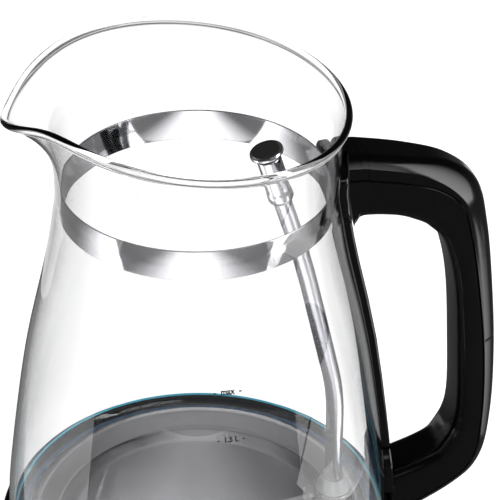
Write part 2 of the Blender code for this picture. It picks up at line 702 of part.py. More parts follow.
def build_connector():
    """The round plug that the jug drops onto, with its two contact rings and its earth pin."""
    groove = 0.0210
    profile = [
        (0.0, groove), (0.0066, groove), (0.0066, POST_TOP_Z), (0.0100, POST_TOP_Z), (0.0100, groove),
        (0.0140, groove), (0.0140, POST_TOP_Z), (POST_R - 0.0010, POST_TOP_Z), (POST_R, POST_TOP_Z - 0.0010),
        (POST_R, 0.0157), (0.0260, 0.0157), (0.0260, 0.0140), (POST_R, 0.0140), (POST_R, 0.0080), (0.0, 0.0080),
    ]
    turned("base_connector", profile, MATT_BLACK, 24)
    ring("base_neutral_ring", 0.0110, 0.0123, groove + GAP, 0.0330, BRASS, 20)
    ring("base_live_ring", 0.0041, 0.0052, groove + GAP, 0.0330, BRASS, 16)
    disc("base_earth_pin", 0.0019, groove + GAP, 0.0345, BRASS, 10)


def build_base_wiring():
    block("base_terminal_block", (-0.0120, 0.0420, 0.0048), (0.0120, 0.0540, 0.0130), WHITE_PLASTIC)
    for name, x, look in (("live", -0.0075, RED_WIRE), ("earth", 0.0, GREEN_WIRE), ("neutral", 0.0075, BLUE_WIRE)):
        end_y = math.sqrt(POST_R**2 - (x * 0.7) ** 2) + 2 * GAP
        route = [(x, 0.0415, 0.0090), (x * 1.2, 0.0340, 0.0105), (x, 0.0260, 0.0105), (x * 0.7, end_y, 0.0100)]
        wire(f"base_wire_{name}", smooth_line(route, 3), 0.0011, look)


def build_cord_outlet():
    """The rubber bush that the mains cord would leave through."""
    bore = 0.0033
    wall = BASE_WALL / 2 + GAP
    inside = wall + 0.0006  # the wall curves away behind the flange
    profile = [
        (bore, 0.0058), (0.0045, 0.0058), (0.0060, wall + 0.0016), (0.0060, wall), (0.0046, wall), (0.0046, -inside),
        (0.0060, -inside), (0.0060, -inside - 0.0018), (bore, -inside - 0.0018),
    ]
    bush = turned("cord_outlet_bush", profile, RUBBER, SMALL_STEPS)
    bush.rotation_euler.x = -math.pi / 2
    bush.location = (0.0, BASE_R - BASE_WALL / 2, GRIP_Z)


for old in list(bpy.data.objects):
    bpy.data.objects.remove(old)
PARTS = bpy.data.collections.new("electric_kettle")
CUTTERS = bpy.data.collections.new("cutters")
bpy.context.scene.collection.children.link(PARTS)
bpy.context.scene.collection.children.link(CUTTERS)

GLASS = material("glass", (0.92, 0.95, 0.95), 0.02, alpha=0.35, transmission=1.0)
STEEL = material("polished_steel", (0.78, 0.78, 0.80), 0.12, 1.0)
PAN_STEEL = material("pan_steel", (0.62, 0.62, 0.64), 0.30, 1.0)
DARK_STEEL = material("element_sheath", (0.30, 0.29, 0.28), 0.45, 1.0)
SCREW_STEEL = material("zinc_screw", (0.60, 0.60, 0.62), 0.35, 1.0)
ALUMINIUM = material("aluminium", (0.75, 0.75, 0.76), 0.40, 1.0)
COPPER = material("bimetal", (0.80, 0.50, 0.30), 0.30, 1.0)
BRASS = material("brass", (0.80, 0.62, 0.30), 0.25, 1.0)
GLOSS_BLACK = material("gloss_black", (0.006, 0.006, 0.007), 0.15)
MATT_BLACK = material("matt_black", (0.012, 0.012, 0.013), 0.50)
WHITE_PLASTIC = material("white_plastic", (0.75, 0.74, 0.70), 0.45)
SILICONE = material("silicone", (0.55, 0.56, 0.57), 0.55)
RUBBER = material("rubber", (0.02, 0.02, 0.02), 0.80)
DIFFUSER = material("blue_diffuser", (0.05, 0.35, 0.75), 0.30)
GREEN_BOARD = material("circuit_board", (0.02, 0.18, 0.07), 0.40)
LED_WHITE = material("led", (0.85, 0.88, 0.90), 0.30)
RED_WIRE = material("red_wire", (0.55, 0.03, 0.02), 0.50)
GREEN_WIRE = material("green_wire", (0.10, 0.35, 0.05), 0.50)
BLUE_WIRE = material("blue_wire", (0.02, 0.08, 0.45), 0.50)

build_glass()
build_neck_band()
build_spine()
build_handle()
build_steam_tube()
build_grommet()
build_pan()
build_element()
build_control()
build_lighting()
build_steam_switch()
build_lever()
build_housing()
build_base_covers()
build_feet()
build_connector()
build_base_wiring()
build_cord_outlet()
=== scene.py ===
"""The looks of the electric kettle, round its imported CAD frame. Metres, +Z up, the handle along +X."""
import json
import math

import bmesh
import bpy
from mathutils import Matrix, Vector


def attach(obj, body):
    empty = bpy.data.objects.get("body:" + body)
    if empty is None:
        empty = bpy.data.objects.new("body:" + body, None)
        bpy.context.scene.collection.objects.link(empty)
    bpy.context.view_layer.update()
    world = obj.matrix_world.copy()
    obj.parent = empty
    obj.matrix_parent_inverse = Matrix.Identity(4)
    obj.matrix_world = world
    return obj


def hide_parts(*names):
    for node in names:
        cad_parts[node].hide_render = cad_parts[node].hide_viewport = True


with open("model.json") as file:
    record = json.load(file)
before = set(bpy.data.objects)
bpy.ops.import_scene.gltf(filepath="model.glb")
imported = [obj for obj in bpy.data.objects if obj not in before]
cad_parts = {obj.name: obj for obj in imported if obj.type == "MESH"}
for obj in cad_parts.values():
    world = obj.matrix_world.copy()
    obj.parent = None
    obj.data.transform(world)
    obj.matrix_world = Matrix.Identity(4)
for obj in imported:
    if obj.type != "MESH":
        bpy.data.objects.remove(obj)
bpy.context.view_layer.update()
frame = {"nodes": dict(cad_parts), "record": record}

# The foot of the glass's outline. The heights of the glass, handle, tube and pan are measured from it.
PAN_Z = 0.0540
NECK_Z = PAN_Z + 0.1527
RIM_Z = PAN_Z + 0.1934

# Glass, as (radius, height above PAN_Z)
GLASS_WALL = 0.0019
GLASS_OUTLINE = ((0.0790, 0.000), (0.0769, 0.026), (0.0692, 0.079), (0.0592, 0.124), (0.0546, 0.1527))
GLASS_BODY_HEIGHTS = (0.0010, 0.1475)
GLASS_FOOT_OUTSIDE = ((0.0690, -0.0082), (0.0752, -0.0082), (0.0786, -0.0050), (0.0790, 0.0008))
GLASS_FOOT_INSIDE = ((0.0770, 0.0008), (0.0762, -0.0024), (0.0740, -0.0050), (0.0690, -0.0050))
GLASS_STEPS = 240
RIM_R = 0.0636
RIM_BEAD_R = 0.0015
RIM_BEAD_TURN = (-0.35, 3.49)
RIM_TILT = 0.0054
RIM_TO_SPOUT = 0.0017
RIM_OVAL = 0.0023
NECK_CURL = 1.6
SPOUT_REACH = 0.0110
SPOUT_DIP = 0.0082
SPOUT_CURL = 2.4

# Angles from the spout at which its reach, its dip and its curl have mostly gone
SPOUT_REACH_TURN = 0.31
SPOUT_DIP_TURN = 0.27
SPOUT_CURL_TURN = 0.55

# Neck band and level marks
BAND_HEIGHTS = (0.1461, 0.1592)
BAND_RADII = (0.0515, 0.0522)
MARK_OFF_GLASS = 0.00020
INK_THICKNESS = 0.00006
LETTER_WEIGHT = 0.032

# Handle: stations along its side outline. Each has the outer point and the point straight across on the
# finger side, as (x, height above PAN_Z), the depth of the seam, and the depth where the crowned outer face
# meets the flank.
HANDLE_HALF = 0.0115
HANDLE_STATIONS = (
    ((0.0460, 0.1652), (0.0460, 0.1200), 0.0092, 0.0042),
    ((0.0570, 0.1653), (0.0590, 0.1300), 0.0092, 0.0043),
    ((0.0621, 0.1651), (0.0616, 0.1346), 0.0092, 0.0044),
    ((0.0661, 0.1647), (0.0650, 0.1376), 0.0092, 0.0045),
    ((0.0842, 0.1608), (0.0780, 0.1360), 0.0093, 0.0051),
    ((0.1010, 0.1556), (0.0866, 0.1327), 0.0103, 0.0076),
    ((0.1131, 0.1448), (0.0928, 0.1286), 0.0104, 0.0087),
    ((0.1178, 0.1260), (0.0997, 0.1192), 0.0087, 0.0072),
    ((0.1211, 0.1000), (0.1050, 0.0975), 0.0072, 0.0061),
    ((0.1240, 0.0660), (0.1077, 0.0655), 0.0060, 0.0056),
    ((0.1242, 0.0340), (0.1087, 0.0344), 0.0051, 0.0048),
    ((0.1205, 0.0105), (0.1040, 0.0202), 0.0044, 0.0041),
    ((0.1082, -0.0030), (0.0963, 0.0138), 0.0042, 0.0039),
    ((0.0780, -0.0190), (0.0690, 0.0048), 0.0042, 0.0039),
)
ROOT_STATIONS = 3
STEPS_PER_STATION = 10
ROOT_OVERRUN = 0.8
FINGER_RADIUS = 0.0052
FLANK_LEAN = 0.10
CROWN_CONTROL = 0.577
CROWN_WIDTH = 1.05
SEAM_EASE = 0.0003
SEAM_GAP = 0.0003
SPINE_GAP = 0.0003

# Strip along the glass, with (height above PAN_Z, half width) along it
SPINE_CLEARANCE = 0.0006
SPINE_THICKNESS = 0.0034
SPINE_CORNER = 0.0011
SPINE_HALF_WIDTHS = (
    (0.0000, 0.0120), (0.0100, 0.0120), (0.0150, 0.0110), (0.0200, 0.0082), (0.0270, 0.0070),
    (0.1270, 0.0070), (0.1345, 0.0078), (0.1385, 0.0110), (0.1415, 0.0148), (0.1450, 0.0168),
    (0.1540, 0.0168), (0.1590, 0.0160), (0.1612, 0.0138),
)

# Steam tube
TUBE_R = 0.00375
TUBE_HOLE_R = TUBE_R + 0.0003
TUBE_X = 0.0588
TUBE_FOOT = Vector((TUBE_X, 0.0, PAN_Z - 0.0160))
TUBE_KNEES = (Vector((TUBE_X, 0.0, PAN_Z + 0.0476)), Vector((0.0434, 0.0, PAN_Z + 0.1150)))
TUBE_TOP = Vector((0.0285, 0.0, PAN_Z + 0.1638))
TUBE_BEND = 0.0120
SLEEVE_R = 0.0049
SLEEVE_LENGTH = 0.0195
SLEEVE_OVER_TOP = 0.0005
CAP_R = 0.0068
CAP_LIFT = 0.0006

# Heating pan, as (radius, height above PAN_Z), the blue-lit ring behind the foot of the glass, and the
# glowing line on it that paints the ring's bright edge highlight
PAN_PROFILE = (
    (0.0708, -0.0032), (0.0704, -0.0028), (0.0672, -0.0028), (0.0660, -0.0032), (0.0595, -0.0051),
    (0.0586, -0.0052), (0.0578, -0.0060), (0.0550, -0.0080), (0.0541, -0.0086), (0.0530, -0.0090),
)
PAN_THICKNESS = 0.0008
PAN_BORE_R = 0.0052
HIGHLIGHT_LINE_R = 0.07655
HIGHLIGHT_LINE_Z = PAN_Z - 0.0002
HIGHLIGHT_LINE_HALF = 0.00045

# Housing, lever and power base
HOUSING_R = 0.0826
HOUSING_WALL = 0.0022
LEVER_SECTIONS = (
    (-0.0070, 0.0006), (-0.0068, 0.0002), (-0.0062, 0.0), (0.0062, 0.0), (0.0068, 0.0002), (0.0070, 0.0006),
)
SCREW_HOLE_R = 0.0018
BASE_R = 0.0820
BASE_WALL = 0.0020
FOOT_RING_R = 0.0620
POST_R = 0.0175
POST_TOP = 0.0360
POST_GROOVE = 0.0210
OUTLET_R = 0.0049
OUTLET = Vector((0.0, BASE_R - BASE_WALL / 2, 0.0105))

# Studio: brightness of the floor seen straight, in a reflection, in a reflection seen through glass, and far
# away through glass
LIT_FLOOR = 1.02
REFLECTED_FLOOR = 0.12
INNER_FLOOR = 0.30
FAR_FLOOR = 0.10
FAR_FLOOR_DISTANCES = (0.75, 1.50)
FLOOR_HALF_SIZE = 6.0
PAPER = (0.90, 0.90, 0.90)
REFLECTED_PAPER = (0.02, 0.02, 0.02)
ABOVE_TABLE = 0.0015
FACE_UP = Matrix.Rotation(math.pi, 4, "X")
LIGHT_TARGET = (0.08, 0.0, 0.2)

# Camera, in degrees and metres
CAMERA_AZIMUTH = -13.5
CAMERA_ELEVATION = 32.96
CAMERA_ROLL = 0.557
CAMERA_DISTANCE = 0.9495
CAMERA_TARGET = Vector((0.0203, -0.0049, PAN_Z + 0.1259))
CAMERA_LENS_MM = 174.6
CAMERA_SENSOR_MM = 36.0


# ---------------------------------------------------------------- shapes

def spaced(first, last, steps):
    """Evenly spaced numbers from first to last, both included."""
    return [first + (last - first) * step / steps for step in range(steps + 1)]


def circle(steps):
    """The (cosine, sine) of evenly spaced angles round a full turn."""
    angles = [2 * math.pi * step / steps for step in range(steps)]
    return [(math.cos(angle), math.sin(angle)) for angle in angles]


def smooth_line(points, steps):
    """A Catmull-Rom line through the points."""
    points = [Vector(point) for point in points]
    ends = [2 * points[0] - points[1], *points, 2 * points[-1] - points[-2]]
    line = []
    for before, start, end, after in zip(ends, ends[1:], ends[2:], ends[3:]):
        for step in range(steps):
            t = step / steps
            line.append(
                0.5 * (
                    2 * start
                    + (end - before) * t
                    + (2 * before - 5 * start + 4 * end - after) * t**2
                    + (3 * start - 3 * end + after - before) * t**3
                )
            )
    return line + [points[-1]]


def offset_line(points, distance):
    """The line moved sideways, to its right as it runs."""
    shifted = []
    for i, point in enumerate(points):
        along = Vector(points[min(i + 1, len(points) - 1)]) - Vector(points[max(i - 1, 0)])
        shifted.append(Vector(point) + distance * Vector((along.y, -along.x)).normalized())
    return shifted


def raised(points, height=PAN_Z):
    return [(p[0], p[1] + height) for p in points]


def polar(radius, degrees, z=0.0):
    angle = math.radians(degrees)
    return Vector((radius * math.cos(angle), radius * math.sin(angle), z))


def bend(start, corner, end, steps):
    """A smooth turn from start to end, towards the corner."""
    return [(1 - t) ** 2 * start + 2 * t * (1 - t) * corner + t**2 * end for t in spaced(0.0, 1.0, steps)]


def softened(profile, radius, steps=4, closed=True):
    """The profile with its corners rounded. Points on the axis stay as they are."""
    points = [Vector(p) for p in profile]
    out = []
    for i, corner in enumerate(points):
        if corner.x < 1e-6 or (not closed and i in (0, len(points) - 1)):
            out.append(tuple(corner))
            continue
        back = points[i - 1] - corner
        ahead = points[(i + 1) % len(points)] - corner
        if min(back.length, ahead.length) < 1e-7 or back.angle(ahead) > math.radians(172):
            out.append(tuple(corner))
            continue
        start = corner + back.normalized() * min(radius, back.length * 0.45)
        end = corner + ahead.normalized() * min(radius, ahead.length * 0.45)
        out += [tuple(point) for point in bend(start, corner, end, steps)]
    return out


def finished(name, edit, sharp=35.0):
    """The bmesh made into a smooth-shaded object, facing out."""
    bmesh.ops.remove_doubles(edit, verts=edit.verts, dist=1e-7)
    bmesh.ops.recalc_face_normals(edit, faces=edit.faces)
    mesh = bpy.data.meshes.new(name)
    edit.to_mesh(mesh)
    edit.free()
    mesh.shade_smooth()
    mesh.set_sharp_from_angle(angle=math.radians(sharp))
    thing = bpy.data.objects.new(name, mesh)
    bpy.context.scene.collection.objects.link(thing)
    return thing


def loft(name, rings, around=False, sharp=35.0):
    """A skin through rings of one number of points. around joins the last ring to the first."""
    edit = bmesh.new()
    rows = [[edit.verts.new(point) for point in ring] for ring in rings]
    pairs = list(zip(rows, rows[1:]))
    if around:
        pairs.append((rows[-1], rows[0]))
    for here, there in pairs:
        for i in range(len(here)):
            j = (i + 1) % len(here)
            edit.faces.new((here[i], here[j], there[j], there[i]))
    if not around:
        edit.faces.new(rows[0])
        edit.faces.new(rows[-1])
    return finished(name, edit, sharp)


def lathe(name, profile, steps=192):
    """A closed profile of (radius, height) turned round Z. An open one starts and ends on the axis."""
    edit = bmesh.new()
    columns = []
    for radius, height in profile:
        if radius < 1e-6:
            columns.append([edit.verts.new((0.0, 0.0, height))] * steps)
        else:
            columns.append([edit.verts.new((radius * c, radius * s, height)) for c, s in circle(steps)])
    on_axis = profile[0][0] < 1e-6 and profile[-1][0] < 1e-6
    pairs = list(zip(columns, columns[1:]))
    if not on_axis:
        pairs.append((columns[-1], columns[0]))
    for here, there in pairs:
        for k in range(steps):
            j = (k + 1) % steps
            corners = []
            for vert in (here[k], here[j], there[j], there[k]):
                if vert not in corners:
                    corners.append(vert)
            if len(corners) > 2:
                edit.faces.new(corners)
    return finished(name, edit)


def plug(name, radius, low, high, steps):
    """A plain upright cylinder, for cutting a round hole."""
    return lathe(name, [(0.0, high), (radius, high), (radius, low), (0.0, low)], steps)


def sweep(name, path, radius, sides=48):
    """A round bar along a path that lies in one plane of constant Y."""
    side = Vector((0.0, 1.0, 0.0))
    rings = []
    for i, point in enumerate(path):
        along = (path[min(i + 1, len(path) - 1)] - path[max(i - 1, 0)]).normalized()
        up = along.cross(side)
        rings.append([point + radius * (side * c + up * s) for c, s in circle(sides)])
    return loft(name, rings)


def rounded_box(name, low, high, bevel):
    low, high = Vector(low), Vector(high)
    edit = bmesh.new()
    bmesh.ops.create_cube(edit, size=1.0)
    bmesh.ops.scale(edit, vec=high - low, verts=edit.verts)
    bmesh.ops.translate(edit, vec=(low + high) / 2, verts=edit.verts)
    bmesh.ops.bevel(edit, geom=edit.edges[:], offset=bevel, segments=3, affect="EDGES")
    return finished(name, edit)


def moved(thing, place, turn=Matrix.Identity(4)):
    """The piece with its mesh turned and then moved. Its origin stays where it is."""
    thing.data.transform(Matrix.Translation(place) @ turn)
    return thing


def cut(thing, cutter, operation="DIFFERENCE"):
    """A Boolean, applied at once. The cutter is removed."""
    boolean = thing.modifiers.new("Cut", "BOOLEAN")
    boolean.operation = operation
    boolean.solver = "MANIFOLD"
    boolean.object = cutter
    graph = bpy.context.evaluated_depsgraph_get()
    mesh = bpy.data.meshes.new_from_object(thing.evaluated_get(graph))
    thing.modifiers.clear()
    old = thing.data
    thing.data = mesh
    mesh.name = thing.name
    bpy.data.meshes.remove(old)
    bpy.data.objects.remove(cutter)
    mesh.shade_smooth()
    mesh.set_sharp_from_angle(angle=math.radians(35))


def add(thing, body, slot, look, *replaced):
    """Puts a finished piece on its body, with its material."""
    thing.data.materials.clear()
    thing.data.materials.append(look)
    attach(thing, body)
    if replaced:
        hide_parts(*replaced)


# ---------------------------------------------------------------- materials

class Look:
    """A Principled material and the few node moves that the looks share."""

    def __init__(self, name, colour, roughness, metallic=0.0):
        self.made = bpy.data.materials.new(name)
        self.made.use_nodes = True
        self.tree = self.made.node_tree
        self.shader = self.tree.nodes["Principled BSDF"]
        self.shader.inputs["Base Color"].default_value = (*colour, 1.0)
        self.shader.inputs["Roughness"].default_value = roughness
        self.shader.inputs["Metallic"].default_value = metallic
        self.colour = colour
        self.where = self.node("ShaderNodeTexCoord").outputs["Object"]

    def node(self, kind, **settings):
        made = self.tree.nodes.new(kind)
        for key, value in settings.items():
            setattr(made, key, value)
        return made

    def link(self, start, end):
        self.tree.links.new(start, end)

    def noise(self, scale, detail=3.0, stretch=(1.0, 1.0, 1.0), source=None):
        mapping = self.node("ShaderNodeMapping")
        mapping.inputs["Scale"].default_value = stretch
        self.link(source or self.where, mapping.inputs["Vector"])
        noise = self.node("ShaderNodeTexNoise")
        noise.inputs["Scale"].default_value = scale
        noise.inputs["Detail"].default_value = detail
        self.link(mapping.outputs["Vector"], noise.inputs["Vector"])
        return noise.outputs["Fac"]

    def spread(self, value, low, high):
        """The middle part of a noise's range, mapped to low..high."""
        made = self.node("ShaderNodeMapRange")
        made.inputs["From Min"].default_value = 0.3
        made.inputs["From Max"].default_value = 0.7
        made.inputs["To Min"].default_value = low
        made.inputs["To Max"].default_value = high
        self.link(value, made.inputs["Value"])
        return made.outputs["Result"]

    def roughness(self, value, low, high):
        self.link(self.spread(value, low, high), self.shader.inputs["Roughness"])

    def shade(self, value, dark, light):
        """Varies the base colour between two strengths of itself."""
        mix = self.node("ShaderNodeMix", data_type="RGBA")
        mix.inputs["A"].default_value = (*[c * dark for c in self.colour], 1.0)
        mix.inputs["B"].default_value = (*[min(c * light, 1.0) for c in self.colour], 1.0)
        self.link(self.spread(value, 0.0, 1.0), mix.inputs["Factor"])
        self.link(mix.outputs["Result"], self.shader.inputs["Base Color"])

    def bump(self, value, distance):
        made = self.node("ShaderNodeBump")
        made.inputs["Distance"].default_value = distance
        self.link(value, made.inputs["Height"])
        self.link(made.outputs["Normal"], self.shader.inputs["Normal"])

    def set(self, values):
        """Sets the shader's own sockets, from socket names to numbers."""
        for name, value in values.items():
            self.shader.inputs[name].default_value = value

    def round_the_axis(self):
        """Radius, height and a little of the angle, for marks that run round a turned piece."""
        split = self.node("ShaderNodeSeparateXYZ")
        self.link(self.where, split.inputs["Vector"])
        length = self.node("ShaderNodeVectorMath", operation="LENGTH")
        flat = self.node("ShaderNodeCombineXYZ")
        self.link(split.outputs["X"], flat.inputs["X"])
        self.link(split.outputs["Y"], flat.inputs["Y"])
        self.link(flat.outputs["Vector"], length.inputs[0])
        angle = self.node("ShaderNodeMath", operation="ARCTAN2")
        self.link(split.outputs["Y"], angle.inputs[0])
        self.link(split.outputs["X"], angle.inputs[1])
        scaled = self.node("ShaderNodeMath", operation="MULTIPLY")
        self.link(angle.outputs["Value"], scaled.inputs[0])
        scaled.inputs[1].default_value = 0.004
        joined = self.node("ShaderNodeCombineXYZ")
        self.link(length.outputs["Value"], joined.inputs["X"])
        self.link(scaled.outputs["Value"], joined.inputs["Y"])
        self.link(split.outputs["Z"], joined.inputs["Z"])
        return joined.outputs["Vector"]


def clear_glass():
    look = Look("clear_glass", (1.0, 1.0, 1.0), 0.0)
    look.set({"Transmission Weight": 1.0, "IOR": 1.47})
    look.roughness(look.noise(60.0), 0.0, 0.02)
    look.bump(look.noise(22.0, 1.0, (1.0, 1.0, 0.5)), 0.00006)
    return look.made


def steel(name, colour, low, high):
    """Polished stainless, with a faint brushing round the axis."""
    look = Look(name, colour, low, 1.0)
    lines = look.noise(2600.0, 2.0, source=look.round_the_axis())
    look.roughness(lines, low, high)
    look.shade(look.noise(40.0), 0.94, 1.04)
    look.bump(lines, 0.000001)
    return look.made


def black_plastic(name, low, high, grain=0.0):
    look = Look(name, (0.0010, 0.0010, 0.0012), low)
    look.set({"Specular IOR Level": 0.35})
    look.roughness(look.noise(180.0, 4.0), low, high)
    look.shade(look.noise(25.0), 0.8, 1.3)
    if grain:
        look.bump(look.noise(2400.0, 2.0), grain)
    else:
        look.bump(look.noise(90.0, 1.0), 0.000012)
    return look.made


def plain_plastic(name, colour, roughness):
    look = Look(name, colour, roughness)
    look.roughness(look.noise(220.0, 3.0), roughness * 0.85, roughness * 1.15)
    look.shade(look.noise(70.0), 0.92, 1.06)
    look.bump(look.noise(1500.0, 2.0), 0.00002)
    return look.made


def metal(name, colour, low, high):
    look = Look(name, colour, low, 1.0)
    look.roughness(look.noise(420.0, 4.0), low, high)
    look.shade(look.noise(160.0), 0.88, 1.08)
    look.bump(look.noise(900.0, 2.0), 0.000008)
    return look.made


def glowing_blue(name, colour, strength):
    look = Look(name, colour, 0.25)
    look.shade(look.noise(120.0), 0.85, 1.15)
    look.roughness(look.noise(200.0), 0.2, 0.32)
    look.set({"Emission Strength": strength, "Emission Color": (*colour, 1.0)})
    return look.made


GLASS = clear_glass()
STEEL = steel("polished_steel", (0.50, 0.50, 0.52), 0.05, 0.10)
TUBE_STEEL = steel("satin_steel", (0.50, 0.50, 0.54), 0.20, 0.28)
PAN_STEEL = steel("pan_steel", (0.33, 0.33, 0.345), 0.17, 0.21)
GLOSS_BLACK = black_plastic("gloss_black", 0.10, 0.16)
MATT_BLACK = black_plastic("matt_black", 0.42, 0.55, 0.00003)
PRINT = black_plastic("level_print", 0.35, 0.45)
RUBBER = plain_plastic("rubber", (0.012, 0.012, 0.013), 0.6)
SILICONE = plain_plastic("silicone", (0.42, 0.43, 0.44), 0.5)
WHITE_PLASTIC = plain_plastic("white_plastic", (0.72, 0.71, 0.67), 0.42)
GREEN_BOARD = plain_plastic("circuit_board", (0.01, 0.12, 0.05), 0.35)
RED_WIRE = plain_plastic("red_wire", (0.42, 0.02, 0.015), 0.4)
BLUE_WIRE = plain_plastic("blue_wire", (0.01, 0.05, 0.35), 0.4)
GREEN_WIRE = plain_plastic("green_wire", (0.06, 0.25, 0.03), 0.4)
LED_WHITE = plain_plastic("led", (0.80, 0.84, 0.88), 0.2)
SCREW_STEEL = metal("zinc_screw", (0.52, 0.52, 0.54), 0.28, 0.42)
ALUMINIUM = metal("aluminium", (0.72, 0.72, 0.74), 0.35, 0.5)
COPPER = metal("bimetal", (0.75, 0.45, 0.26), 0.25, 0.4)
BRASS = metal("brass", (0.78, 0.58, 0.26), 0.2, 0.34)
DARK_STEEL = metal("element_sheath", (0.22, 0.21, 0.20), 0.4, 0.55)
BLUE_RING = glowing_blue("blue_diffuser", (0.010, 0.040, 0.085), 0.7)
# Painted highlight: the bright teal edge of the blue-lit ring, made as a glowing material
BLUE_HIGHLIGHT_GLOW = glowing_blue("blue_painted_highlight", (0.06, 0.38, 0.52), 0.5)

SLOT_LOOKS = {
    "glass": GLASS, "polished_steel": STEEL, "pan_steel": PAN_STEEL, "element_sheath": DARK_STEEL,
    "zinc_screw": SCREW_STEEL, "aluminium": ALUMINIUM, "bimetal": COPPER, "brass": BRASS,
    "gloss_black": GLOSS_BLACK, "matt_black": MATT_BLACK, "white_plastic": WHITE_PLASTIC,
    "silicone": SILICONE, "rubber": RUBBER, "blue_diffuser": BLUE_RING, "circuit_board": GREEN_BOARD,
    "led": LED_WHITE, "red_wire": RED_WIRE, "green_wire": GREEN_WIRE, "blue_wire": BLUE_WIRE,
}


def dress_cad_nodes():
    """Every CAD node gets the material of its slot."""
    for entry in frame["record"]["subparts"]:
        node = frame["nodes"][entry["node"]]
        node.data.materials.clear()
        node.data.materials.append(SLOT_LOOKS[entry["material_slot"]])


# ---------------------------------------------------------------- glass jug

GLASS_LINE = smooth_line(GLASS_OUTLINE, 16)


def glass_radius(height):
    """Outer radius of the body at a height above PAN_Z."""
    for low, high in zip(GLASS_LINE, GLASS_LINE[1:]):
        if low.y <= height <= high.y:
            return low.x + (high.x - low.x) * (height - low.y) / (high.y - low.y)
    return GLASS_LINE[0].x if height < GLASS_LINE[0].y else GLASS_LINE[-1].x


def rim_point(angle):
    """Radius and height of the rim's outer edge. The angle is measured from the spout."""
    reach = RIM_R + RIM_TO_SPOUT * math.cos(angle) - RIM_OVAL * math.cos(2 * angle)
    reach += SPOUT_REACH * math.exp(-((abs(angle) / SPOUT_REACH_TURN) ** 1.53))
    rise = RIM_TILT * math.cos(angle) * reach / RIM_R
    return reach, RIM_Z + rise - SPOUT_DIP * math.exp(-((angle / SPOUT_DIP_TURN) ** 2))


def glass_flare(rim_r, rim_z, curl):
    """The outside of the neck from its narrowest place to the rim, as (radius, height). The larger the curl,
    the later and more sharply it turns out."""
    neck_r = GLASS_OUTLINE[-1][0]
    return [
        (neck_r + (rim_r - neck_r) * t**curl, NECK_Z + (rim_z - NECK_Z) * t)
        for t in spaced(0.0, 1.0, 19)
    ]


def glass_section(angle):
    """The glass cut at one angle from the spout, as a closed loop of (radius, height)."""
    body = raised([(glass_radius(height), height) for height in spaced(*GLASS_BODY_HEIGHTS, 30)])
    rim_r, rim_z = rim_point(angle)
    curl = NECK_CURL + SPOUT_CURL * math.exp(-((angle / SPOUT_CURL_TURN) ** 2))
    outside = [Vector(p) for p in body + glass_flare(rim_r - RIM_BEAD_R, rim_z, curl)]
    inside = offset_line(outside, -GLASS_WALL)
    out = (outside[-1] - inside[-1]).normalized()
    up = (outside[-1] - outside[-3]).normalized()
    middle = (outside[-1] + inside[-1]) / 2 + up * RIM_BEAD_R * 0.6
    bead = [
        middle + RIM_BEAD_R * (out * math.cos(turn) + up * math.sin(turn))
        for turn in spaced(*RIM_BEAD_TURN, 13)
    ]
    foot_outside = softened(raised(GLASS_FOOT_OUTSIDE), 0.0016, 5, closed=False)
    foot_inside = softened(raised(GLASS_FOOT_INSIDE), 0.0014, 5, closed=False)
    wall = [tuple(p) for p in outside + bead + inside[::-1]]
    return foot_outside[:-1] + wall + foot_inside[1:]


def build_glass():
    rings = []
    for step in range(GLASS_STEPS):
        turn = 2 * math.pi * step / GLASS_STEPS
        angle = turn - 0.45 * math.sin(turn)  # closer together at the spout
        from_spout = (angle + math.pi) % (2 * math.pi) - math.pi
        away = Vector((-math.cos(angle), -math.sin(angle), 0.0))
        section = glass_section(from_spout)
        rings.append([away * radius + Vector((0.0, 0.0, height)) for radius, height in section])
    add(loft("jug_glass", rings, around=True, sharp=80), "jug", "glass", GLASS, "glass_jug")


def build_neck_band():
    low, high = [PAN_Z + height for height in BAND_HEIGHTS]
    inner, outer = BAND_RADII
    profile = softened([(outer, low), (outer, high), (inner, high), (inner, low)], 0.00025, 3)
    add(lathe("neck_band_polished", profile, 256), "jug", "polished_steel", STEEL, "neck_band")


def flat_letters(name, text):
    """The filled outlines of a line of text, as a bmesh."""
    data = bpy.data.curves.new(name, "FONT")
    data.body = text
    data.resolution_u = 6
    data.offset = LETTER_WEIGHT
    text_object = bpy.data.objects.new(name + "_text", data)
    bpy.context.scene.collection.objects.link(text_object)
    graph = bpy.context.evaluated_depsgraph_get()
    mesh = bpy.data.meshes.new_from_object(text_object.evaluated_get(graph))
    bpy.data.objects.remove(text_object)
    edit = bmesh.new()
    edit.from_mesh(mesh)
    bpy.data.meshes.remove(mesh)
    bmesh.ops.remove_doubles(edit, verts=edit.verts, dist=1e-6)
    return edit


def build_level_mark(name, text, foot, turn, wide, tall):
    """Printed lettering wrapped on the outside of the glass. foot is its lower edge, above PAN_Z."""
    edit = flat_letters(name, text)
    across = [v.co.x for v in edit.verts]
    up = [v.co.y for v in edit.verts]
    for vert in edit.verts:
        x = ((vert.co.x - min(across)) / (max(across) - min(across)) - 0.5) * wide
        height = foot + (vert.co.y - min(up)) / (max(up) - min(up)) * tall
        radius = glass_radius(height) + MARK_OFF_GLASS
        vert.co = polar(radius, turn + math.degrees(x / radius), PAN_Z + height)
    mark = finished(name, edit)
    skin = mark.modifiers.new("Ink", "SOLIDIFY")
    skin.thickness = INK_THICKNESS
    skin.offset = 0.0
    add(mark, "jug", "matt_black", PRINT)


# ---------------------------------------------------------------- handle

def both_flanks(side):
    """A half section of (depth, y) with y > 0, joined to its mirror image."""
    return [*side, *[Vector((p.x, -p.y)) for p in reversed(side)]]


